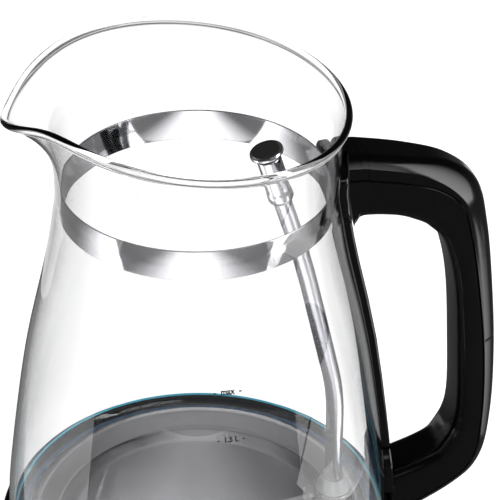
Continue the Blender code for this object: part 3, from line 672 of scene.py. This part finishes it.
def cover_section(seam, crease):
    """The outer half of the handle: a crowned face, a crease, and a flank that leans in towards it."""
    flank = HANDLE_HALF - (seam - crease) * FLANK_LEAN
    foot = Vector((crease, flank))
    control = Vector((0.0, flank - crease * CROWN_CONTROL))
    crown = bend(foot, control, Vector((0.0, flank - crease * CROWN_WIDTH)), 12)
    side = [Vector((0.0, crown[-1].y * k / 4)) for k in range(1, 4)] + crown[::-1]
    side[-1:] = bend(side[-2].lerp(foot, 0.75), foot, foot + Vector((0.0004, 0.0)), 3)
    side += [Vector((seam - SEAM_EASE, HANDLE_HALF)), Vector((seam, HANDLE_HALF - SEAM_EASE))]
    return both_flanks(side)


def finger_section(seam, depth):
    """The inner half of the handle, from the seam to the rounded finger side."""
    side = [Vector((seam, HANDLE_HALF - SEAM_EASE)), Vector((seam + SEAM_EASE, HANDLE_HALF))]
    for turn in spaced(0.0, math.pi / 2, 12):
        inwards = FINGER_RADIUS * (1 - math.sin(turn))
        narrower = FINGER_RADIUS * (1 - math.cos(turn))
        side.append(Vector((depth - inwards, HANDLE_HALF - narrower)))
    side.append(Vector((depth + 0.0002, (HANDLE_HALF - FINGER_RADIUS) / 2)))
    return both_flanks(side)


def handle_rings(stations, section):
    rings = []
    for outer, inner, seam, crease in stations:
        reach = inner - outer
        across = reach.normalized()
        rings.append([
            Vector((outer.x + across.x * p.x, p.y, PAN_Z + outer.y + across.y * p.x))
            for p in section(seam, crease, reach.length)
        ])
    return rings


def glass_solid(clearance):
    """A solid that fills the jug's outline, larger by the clearance, for cutting the handle's ends."""
    bottom, top = -0.040, 0.180
    wall = [(glass_radius(height) + clearance, height) for height in spaced(top, bottom, 44)]
    return lathe("glass_cutter", raised([(0.0, top), *wall, (0.0, bottom)]), 256)


def build_handle():
    outer = smooth_line([station[0] for station in HANDLE_STATIONS], STEPS_PER_STATION)
    inner = smooth_line([station[1] for station in HANDLE_STATIONS], STEPS_PER_STATION)
    depths = smooth_line([station[2:] for station in HANDLE_STATIONS], STEPS_PER_STATION)
    stations = [(a, b, depth.x, depth.y) for a, b, depth in zip(outer, inner, depths)]
    split = ROOT_STATIONS * STEPS_PER_STATION
    end = tuple(a + ROOT_OVERRUN * (b - a) for a, b in zip(stations[split - 1], stations[split]))

    def outer_half(seam, crease, depth):
        return cover_section(seam, crease)

    def inner_half(seam, crease, depth):
        return finger_section(seam + SEAM_GAP, depth)

    body = loft("handle_inner_half", handle_rings(stations, inner_half))
    cover = loft("handle_outer_half", handle_rings(stations[split:], outer_half), sharp=50)
    cap = loft("handle_root", handle_rings([*stations[:split], end], outer_half), sharp=50)
    for thing, node in ((body, "handle_body"), (cover, "handle_cover"), (cap, "handle_root_cap")):
        cut(thing, glass_solid(SPINE_CLEARANCE + SPINE_THICKNESS + SPINE_GAP))
        add(thing, "jug", "gloss_black", GLOSS_BLACK, node)


def spine_section(inner, half):
    """The strip cut across, as (radius, sideways): flat towards the glass, with rounded outer corners."""
    outer = inner + SPINE_THICKNESS
    section = [(inner, half * (1 - k / 6)) for k in range(13)]
    for turn in spaced(0.0, math.pi / 2, 4):
        section.append((
            outer - SPINE_CORNER * (1 - math.sin(turn)), -half + SPINE_CORNER * (1 - math.cos(turn))
        ))
    section += [(outer, (half - SPINE_CORNER) * (k / 6 - 1)) for k in range(1, 12)]
    for turn in spaced(0.0, math.pi / 2, 4):
        section.append((
            outer - SPINE_CORNER * (1 - math.cos(turn)), half - SPINE_CORNER * (1 - math.sin(turn))
        ))
    return section


def build_spine():
    """The strip that follows the glass from the neck to the housing, with a saddle at its top and a foot."""
    rings = []
    for height, half in smooth_line(SPINE_HALF_WIDTHS, 6):
        section = spine_section(glass_radius(height) + SPINE_CLEARANCE, half)
        rings.append([polar(radius, math.degrees(y / radius), PAN_Z + height) for radius, y in section])
    add(loft("handle_spine_strip", rings), "jug", "gloss_black", GLOSS_BLACK, "handle_spine")


# ---------------------------------------------------------------- steam tube

def tube_path():
    """The tube's middle line from its foot to its top, and the direction of its last stretch."""
    corners = [TUBE_FOOT, *TUBE_KNEES, TUBE_TOP]
    points = [TUBE_FOOT]
    for below, knee, above in zip(corners, corners[1:], corners[2:]):
        back = (below - knee).normalized()
        lean = (above - knee).normalized()
        points += bend(knee + TUBE_BEND * back, knee, knee + TUBE_BEND * lean, 12)
    return points + [TUBE_TOP], lean


def build_steam_tube():
    path, lean = tube_path()
    add(sweep("steam_tube_polished", path, TUBE_R), "jug", "polished_steel", TUBE_STEEL, "steam_tube")
    sleeve_profile = softened([
        (TUBE_HOLE_R, 0.0), (SLEEVE_R - 0.0006, 0.0), (SLEEVE_R + 0.0003, 0.0012),
        (SLEEVE_R + 0.0003, 0.0040), (SLEEVE_R, 0.0055), (SLEEVE_R, SLEEVE_LENGTH),
        (TUBE_HOLE_R, SLEEVE_LENGTH),
    ], 0.0005)
    cap_profile = softened([
        (0.0, 0.0031), (CAP_R - 0.0011, 0.0031), (CAP_R - 0.0008, 0.0034), (CAP_R - 0.0002, 0.0034),
        (CAP_R, 0.0026), (CAP_R, 0.0018), (SLEEVE_R, 0.0004), (0.0, 0.0004),
    ], 0.0003)
    turn = Vector((0.0, 0.0, 1.0)).rotation_difference(lean).to_matrix().to_4x4()
    sleeve = lathe("steam_tube_collar", sleeve_profile, 96)
    sleeve_foot = TUBE_TOP - (SLEEVE_LENGTH - SLEEVE_OVER_TOP) * lean
    add(moved(sleeve, sleeve_foot, turn), "jug", "polished_steel", STEEL, "steam_tube_sleeve")
    cap = lathe("steam_tube_mushroom", cap_profile, 96)
    add(moved(cap, TUBE_TOP + CAP_LIFT * lean, turn), "jug", "polished_steel", STEEL, "steam_tube_cap")


def build_grommet():
    profile = softened(raised([
        (TUBE_HOLE_R, 0.0038), (TUBE_HOLE_R + 0.0008, 0.0038), (0.0072, 0.0000), (0.0076, -0.0018),
        (0.0049, -0.0018), (0.0049, -0.0102), (0.0068, -0.0102), (0.0064, -0.0118), (TUBE_HOLE_R, -0.0118),
    ]), 0.0005)
    grommet = moved(lathe("grommet_moulded", profile, 64), (TUBE_X, 0.0, 0.0))
    add(grommet, "jug", "silicone", SILICONE, "steam_tube_grommet")


# ---------------------------------------------------------------- heating pan and light

def build_pan():
    """The stepped pan, with a bored boss for the steam tube."""
    line = softened(PAN_PROFILE, 0.0012, 5, closed=False) + [(0.0, PAN_PROFILE[-1][1])]
    under = [(max(p.x, 0.0), p.y) for p in offset_line([Vector(p) for p in line], -PAN_THICKNESS)]
    under[-1] = (0.0, under[-1][1])
    pan = lathe("pan_pressed", raised([*line[::-1], *under]), 256)
    boss_profile = raised([(0.0, -0.0022), (0.0078, -0.0022), (0.0086, -0.0094), (0.0, -0.0094)])
    cut(pan, moved(lathe("boss", softened(boss_profile, 0.0006), 64), (TUBE_X, 0.0, 0.0)), "UNION")
    cut(pan, moved(plug("bore", PAN_BORE_R, PAN_Z - 0.02, PAN_Z + 0.01, 48), (TUBE_X, 0.0, 0.0)))
    add(pan, "jug", "pan_steel", PAN_STEEL, "heating_pan")


def build_light():
    """The moulded ring under the foot of the glass, and a glowing line at its top: a painted highlight of
    the ring's bright teal edge.
    """
    ring = softened([(0.0698, 0.0410), (0.0784, 0.0410), (0.0784, 0.0455), (0.0698, 0.0455)], 0.0004)
    add(lathe("light_ring_moulded", ring), "jug", "blue_diffuser", BLUE_RING, "light_ring")
    # A thin glowing tube, no real part, paints the bright teal edge highlight of the ring
    glow = [(HIGHLIGHT_LINE_R + HIGHLIGHT_LINE_HALF * c, HIGHLIGHT_LINE_Z + HIGHLIGHT_LINE_HALF * s) for c, s in circle(8)]
    add(lathe("painted_highlight_line", glow[::-1], 256), "jug", "blue_diffuser", BLUE_HIGHLIGHT_GLOW)


# ---------------------------------------------------------------- housing and power base

def drill_screw_holes(cover, ring_r, turns):
    for turn in turns:
        cut(cover, moved(plug("hole", SCREW_HOLE_R, -0.01, 0.03, 24), polar(ring_r, turn)))


def build_housing():
    inner = HOUSING_R - HOUSING_WALL
    housing = lathe("housing_moulded", softened([
        (0.0812, 0.0508), (0.0820, 0.0500), (HOUSING_R, 0.0460), (HOUSING_R, 0.0245), (0.0820, 0.0238),
        (inner, 0.0238), (inner, 0.0344), (0.0685, 0.0344), (0.0685, 0.0364), (0.0795, 0.0364),
        (0.0795, 0.0508),
    ], 0.0008), 256)
    cut(housing, rounded_box("slot", (0.0780, -0.0076, 0.0262), (0.0860, 0.0076, 0.0343), 0.0008))
    add(housing, "jug", "gloss_black", GLOSS_BLACK, "base_housing")


def build_lever():
    """The paddle: one side outline, drawn in a little at both of its faces."""
    outline = [Vector(p) for p in softened([
        (0.0740, 0.0335), (0.0785, 0.0335), (0.0840, 0.0325), (0.0960, 0.0325), (0.1010, 0.0310),
        (0.1010, 0.0292), (0.0960, 0.0295), (0.0800, 0.0293), (0.0776, 0.0285), (0.0774, 0.0260),
        (0.0745, 0.0260),
    ], 0.0009)]
    middle = sum(outline, Vector((0.0, 0.0))) / len(outline)
    rings = []
    for y, inset in LEVER_SECTIONS:
        drawn_in = [p + inset * (middle - p).normalized() for p in outline]
        rings.append([Vector((p.x, y, p.y)) for p in drawn_in])
    add(loft("lever_paddle", rings), "lever", "gloss_black", GLOSS_BLACK, "power_lever")


def build_jug_underside():
    cover = lathe("jug_underside", softened([
        (0.0245, 0.0255), (0.0800, 0.0255), (0.0800, 0.0228), (0.0790, 0.0223), (0.0755, 0.0223),
        (0.0755, 0.0235), (0.0245, 0.0235),
    ], 0.0005))
    drill_screw_holes(cover, 0.0720, (60, 180, 300))
    add(cover, "jug", "matt_black", MATT_BLACK, "jug_bottom_cover")


def build_base_covers():
    line = softened([
        (0.0195, 0.0180), (0.0700, 0.0180), (0.0720, 0.0185), (0.0745, 0.0220), (0.0790, 0.0220),
        (0.0811, 0.0209), (BASE_R, 0.0185), (BASE_R, 0.0026),
    ], 0.0010, closed=False)
    wall = [tuple(p) for p in reversed(offset_line([Vector(p) for p in line], BASE_WALL))]
    top = lathe("base_shell", line + wall, 256)
    outlet = plug("outlet", OUTLET_R, -0.006, 0.006, 48)
    cut(top, moved(outlet, OUTLET, Matrix.Rotation(math.pi / 2, 4, "X")))
    add(top, "power_base", "gloss_black", GLOSS_BLACK, "base_top_cover")

    bottom = lathe("base_underside", softened([
        (0.0, 0.0020), (0.0290, 0.0020), (0.0310, 0.0043), (0.0795, 0.0043), (0.0795, 0.0023),
        (0.0322, 0.0023), (0.0302, 0.0), (0.0, 0.0),
    ], 0.0005))
    drill_screw_holes(bottom, 0.0500, (30, 150, 270))
    add(bottom, "power_base", "matt_black", MATT_BLACK, "base_bottom_cover")


def build_feet():
    outline = [(0.0, 0.0020), (0.0070, 0.0020), (0.0070, 0.0006), (0.0064, 0.0), (0.0, 0.0)]
    profile = softened(outline, 0.0004)
    for number, turn in enumerate((45, 135, 225, 315), 1):
        foot = moved(lathe(f"foot_{number}", profile, 48), polar(FOOT_RING_R, turn))
        add(foot, "power_base", "rubber", RUBBER, f"base_foot_{number}")


def build_connector():
    """The post in the middle of the power base, with a round groove for the jug's contacts."""
    post = lathe("connector_post", softened([
        (0.0, POST_GROOVE), (0.0066, POST_GROOVE), (0.0066, POST_TOP), (0.0100, POST_TOP),
        (0.0100, POST_GROOVE), (0.0140, POST_GROOVE), (0.0140, POST_TOP), (POST_R - 0.0010, POST_TOP),
        (POST_R, POST_TOP - 0.0010), (POST_R, 0.0157), (0.0260, 0.0157), (0.0260, 0.0140), (POST_R, 0.0140),
        (POST_R, 0.0080), (0.0, 0.0080),
    ], 0.0005), 96)
    add(post, "power_base", "matt_black", MATT_BLACK, "base_connector")


def build_outlet_bush():
    """The rubber bush with a flange on each side of the base's wall."""
    outside = BASE_WALL / 2 + 0.0003
    inside = outside + 0.0006
    bush = lathe("outlet_bush", softened([
        (0.0033, 0.0058), (0.0045, 0.0058), (0.0060, outside + 0.0016), (0.0060, outside), (0.0046, outside),
        (0.0046, -inside), (0.0060, -inside), (0.0060, -inside - 0.0018), (0.0033, -inside - 0.0018),
    ], 0.0005), 64)
    moved(bush, OUTLET, Matrix.Rotation(-math.pi / 2, 4, "X"))
    add(bush, "power_base", "rubber", RUBBER, "cord_outlet_bush")


# ---------------------------------------------------------------- studio

def area_light(name, place, wide, high, radiance, rotation):
    data = bpy.data.lights.new(name, "AREA")
    data.shape = "RECTANGLE"
    data.size = wide
    data.size_y = high
    data.energy = radiance * math.pi * wide * high
    light = bpy.data.objects.new(name, data)
    light.location = place
    light.rotation_mode = "QUATERNION"
    light.rotation_quaternion = rotation
    light.visible_camera = False
    bpy.context.scene.collection.objects.link(light)
    return light


def fade(light, start, direction, near, far):
    """The light fades from full at a distance near from start, along the direction, to nothing at far."""
    light.data.use_nodes = True
    nodes = light.data.node_tree.nodes
    links = light.data.node_tree.links
    geometry = nodes.new("ShaderNodeNewGeometry")
    away = nodes.new("ShaderNodeVectorMath")
    away.operation = "SUBTRACT"
    links.new(geometry.outputs["Position"], away.inputs[0])
    away.inputs[1].default_value = start
    along = nodes.new("ShaderNodeVectorMath")
    along.operation = "DOT_PRODUCT"
    links.new(away.outputs["Vector"], along.inputs[0])
    along.inputs[1].default_value = direction
    size = nodes.new("ShaderNodeMath")
    size.operation = "ABSOLUTE"
    links.new(along.outputs["Value"], size.inputs[0])
    ramp = nodes.new("ShaderNodeMapRange")
    ramp.interpolation_type = "SMOOTHSTEP"
    ramp.inputs["From Min"].default_value = near
    ramp.inputs["From Max"].default_value = far
    ramp.inputs["To Min"].default_value = 1.0
    ramp.inputs["To Max"].default_value = 0.0
    links.new(size.outputs["Value"], ramp.inputs["Value"])
    links.new(ramp.outputs["Result"], nodes["Emission"].inputs["Strength"])


def flat_light(name, place, wide, deep, radiance):
    """A light lying on the table that only plain reflections show."""
    light = area_light(name, Vector((*place, ABOVE_TABLE)), wide, deep, radiance, FACE_UP.to_quaternion())
    light.visible_transmission = False
    return light


def table_light(name, turn, start, side, reach, width, radiance, near, far):
    """A soft light lying on the table along a line that runs out from start at an azimuth. It lies to one
    side of the line, or across it where side is 0, and fades away from the line."""
    azimuth = math.radians(turn)
    along = Vector((math.sin(azimuth), -math.cos(azimuth), 0.0))
    across = Vector((math.cos(azimuth), math.sin(azimuth), 0.0))
    place = Vector((*start, ABOVE_TABLE)) + along * (reach[0] + reach[1]) / 2 + across * side * width / 2
    rotation = Matrix.Rotation(azimuth, 4, "Z") @ FACE_UP
    light = area_light(name, place, width, reach[1] - reach[0], radiance, rotation.to_quaternion())
    light.visible_glossy = False
    fade(light, (*start, 0.0), across, near, far)


def panel(name, place, target, wide, high, radiance, near, far, sideways=0.0):
    """A standing soft light that fades upwards from its lower edge, or also sideways from its corner."""
    place = Vector(place)
    rotation = (Vector(target) - place).to_track_quat("-Z", "Y")
    up = rotation @ Vector((0.0, 1.0, 0.0))
    side = rotation @ Vector((1.0, 0.0, 0.0))
    light = area_light(name, place, wide, high, radiance, rotation)
    start = place - up * high / 2 - side * wide / 2
    fade(light, start, (up + side * sideways).normalized(), near, far)
    return light


class Rays:
    """Node moves for a floor or a world that looks different to different rays."""

    def __init__(self, tree):
        self.nodes = tree.nodes
        self.links = tree.links
        self.path = self.nodes.new("ShaderNodeLightPath")

    def switch(self, otherwise, chosen, where):
        """chosen where the value is 1, and otherwise where it is 0. Each is a number or a socket."""
        mix = self.nodes.new("ShaderNodeMix")
        self.links.new(where, mix.inputs["Factor"])
        for name, value in (("A", otherwise), ("B", chosen)):
            if isinstance(value, float):
                mix.inputs[name].default_value = value
            else:
                self.links.new(value, mix.inputs[name])
        return mix.outputs["Result"]

    def ever(self, kind):
        """1 where the ray has met a surface of the kind, Glossy or Transmission, and 0 elsewhere."""
        more = self.nodes.new("ShaderNodeMath")
        more.operation = "GREATER_THAN"
        self.links.new(self.path.outputs[kind + " Depth"], more.inputs[0])
        more.inputs[1].default_value = 0.5
        return more.outputs["Value"]

    def ramp(self, value, start, end, first, last):
        made = self.nodes.new("ShaderNodeMapRange")
        for name, number in (("From Min", start), ("From Max", end), ("To Min", first), ("To Max", last)):
            made.inputs[name].default_value = number
        self.links.new(value, made.inputs["Value"])
        return made.outputs["Result"]


def build_floor():
    """White paper that lights itself. It is dim in reflections, and fades with distance where it is seen
    through glass. Its back is clear, so that the object can be seen from below."""
    floor = bpy.data.objects.new("floor", bpy.data.meshes.new("floor"))
    bpy.context.scene.collection.objects.link(floor)
    size = FLOOR_HALF_SIZE
    corners = [(-size, -size, 0), (size, -size, 0), (size, size, 0), (-size, size, 0)]
    floor.data.from_pydata(corners, [], [(0, 1, 2, 3)])
    paper = Look("floor_paper", PAPER, 0.9)
    rays = Rays(paper.tree)
    reflected = rays.ever("Glossy")
    dim = rays.switch(REFLECTED_FLOOR, INNER_FLOOR, rays.ever("Transmission"))
    distance = paper.node("ShaderNodeVectorMath", operation="LENGTH")
    paper.link(paper.where, distance.inputs[0])
    far = rays.ramp(distance.outputs["Value"], *FAR_FLOOR_DISTANCES, LIT_FLOOR, FAR_FLOOR)
    seen = rays.switch(LIT_FLOOR, far, rays.ever("Transmission"))
    paper.link(rays.switch(seen, dim, reflected), paper.shader.inputs["Emission Strength"])
    mix = paper.node("ShaderNodeMix", data_type="RGBA")
    mix.inputs["A"].default_value = (*PAPER, 1.0)
    mix.inputs["B"].default_value = (*REFLECTED_PAPER, 1.0)
    paper.link(reflected, mix.inputs["Factor"])
    paper.link(mix.outputs["Result"], paper.shader.inputs["Base Color"])
    paper.set({"Emission Color": (1.0, 1.0, 1.0, 1.0), "Specular IOR Level": 0.0})
    clear = paper.node("ShaderNodeBsdfTransparent")
    sided = paper.node("ShaderNodeMixShader")
    paper.link(paper.node("ShaderNodeNewGeometry").outputs["Backfacing"], sided.inputs["Fac"])
    paper.link(paper.shader.outputs["BSDF"], sided.inputs[1])
    paper.link(clear.outputs["BSDF"], sided.inputs[2])
    paper.link(sided.outputs["Shader"], paper.tree.nodes["Material Output"].inputs["Surface"])
    floor.data.materials.append(paper.made)


def build_world():
    """White seen straight, and dark above the horizon through glass. In reflections it is dim at the
    horizon and dark above, and in reflections seen through glass it is bright only overhead."""
    world = bpy.data.worlds.new("studio")
    bpy.context.scene.world = world
    world.use_nodes = True
    rays = Rays(world.node_tree)
    where = rays.nodes.new("ShaderNodeTexCoord")
    split = rays.nodes.new("ShaderNodeSeparateXYZ")
    rays.links.new(where.outputs["Generated"], split.inputs["Vector"])
    height = split.outputs["Z"]
    plain = rays.ramp(height, -0.05, 0.32, REFLECTED_FLOOR, 0.035)
    inner = rays.ramp(height, 0.68, 0.95, 0.10, 0.80)
    mirrored = rays.switch(plain, inner, rays.ever("Transmission"))
    through_glass = rays.ramp(height, -0.02, 0.15, 1.0, 0.03)
    straight = rays.switch(through_glass, 1.0, rays.path.outputs["Is Camera Ray"])
    soft = rays.switch(straight, plain, rays.path.outputs["Is Diffuse Ray"])
    background = rays.nodes["Background"]
    rays.links.new(rays.switch(soft, mirrored, rays.ever("Glossy")), background.inputs["Strength"])
    background.inputs["Color"].default_value = (1.0, 1.0, 1.0, 1.0)


def build_studio():
    build_floor()
    build_world()
    panel("front_above", (0.30, -0.83, 0.88), LIGHT_TARGET, 0.75, 0.75, 2.6, 0.00, 0.60)
    panel("right_side", (0.79, -0.42, 0.40), LIGHT_TARGET, 0.55, 0.80, 7.0, 0.25, 0.80, sideways=1.6)
    behind = panel("behind", (0.24, 1.00, 0.75), (0.0, 0.0, 0.05), 0.22, 0.90, 1.3, 0.40, 0.90)
    behind.visible_glossy = False
    outer = flat_light("table_outer", (0.37, -0.10), 0.32, 0.26, 3.2)
    fade(outer, (0.0, -0.23, 0.0), (0.0, 1.0, 0.0), 0.15, 0.26)
    flat_light("table_back", (0.15, 0.75), 1.00, 0.90, 0.9)
    table_light("table_right", 52.0, (0.0172, -0.0493), 1, (0.09, 0.65), 0.32, 2.7, 0.03, 0.29)
    table_light("table_left", -79.0, (-0.0377, -0.0361), -1, (0.09, 0.65), 0.32, 2.7, 0.03, 0.29)
    table_light("table_front", -13.5, (0.0, 0.0), 0, (0.12, 0.60), 0.52, 2.8, 0.02, 0.26)
    bpy.context.scene.view_settings.view_transform = "Standard"


def build_camera():
    azimuth, elevation = math.radians(CAMERA_AZIMUTH), math.radians(CAMERA_ELEVATION)
    flat = Vector((math.sin(azimuth), -math.cos(azimuth), 0.0)) * math.cos(elevation)
    back = flat + Vector((0.0, 0.0, math.sin(elevation)))
    data = bpy.data.cameras.new("camera")
    data.sensor_width = CAMERA_SENSOR_MM
    data.lens = CAMERA_LENS_MM
    camera = bpy.data.objects.new("camera", data)
    camera.location = CAMERA_TARGET + back * CAMERA_DISTANCE
    turn = (-back).to_track_quat("-Z", "Y").to_matrix().to_4x4()
    camera.rotation_euler = (turn @ Matrix.Rotation(math.radians(CAMERA_ROLL), 4, "Z")).to_euler()
    bpy.context.scene.collection.objects.link(camera)
    bpy.context.scene.camera = camera


build_camera()
build_studio()
dress_cad_nodes()
build_glass()
build_neck_band()
build_level_mark("mark_max", "-  max  -", 0.1019, -91.8, 0.0107, 0.0019)
build_level_mark("mark_litres", "-  1.5 L  -", 0.0828, -91.3, 0.0107, 0.0022)
build_handle()
build_spine()
build_steam_tube()
build_grommet()
build_pan()
build_light()
build_housing()
build_lever()
build_jug_underside()
build_base_covers()
build_feet()
build_connector()
build_outlet_bush()
